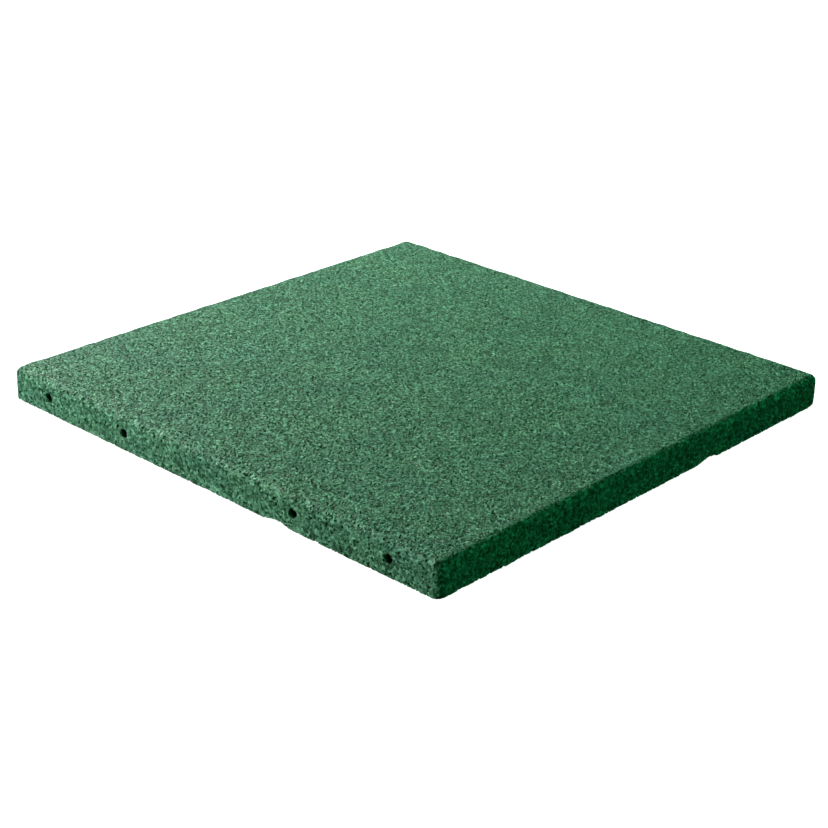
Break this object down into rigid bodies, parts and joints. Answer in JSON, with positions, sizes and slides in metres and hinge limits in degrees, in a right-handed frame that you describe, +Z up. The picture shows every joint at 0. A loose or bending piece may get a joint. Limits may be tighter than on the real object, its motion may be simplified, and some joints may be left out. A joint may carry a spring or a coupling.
{
  "type": "rubber floor tile",
  "caption": "Square green rubber granule floor tile with a rounded top edge, blind dowel-pin sockets in two opposite sides and shallow drain channels underneath.",
  "frame": {"origin": "centre of the underside, on the floor", "axes": "+Z up through the thickness; X and Y along the sides; the pin sockets are in the sides that face -Y and +Y"},
  "size_m": [0.5, 0.5, 0.03],
  "materials": {
    "green_rubber": "matt, granular, small pale glints on single granules"
  },
  "bodies": {
    "root": {"rubber_tile": "green_rubber"}
  },
  "joints": []
}
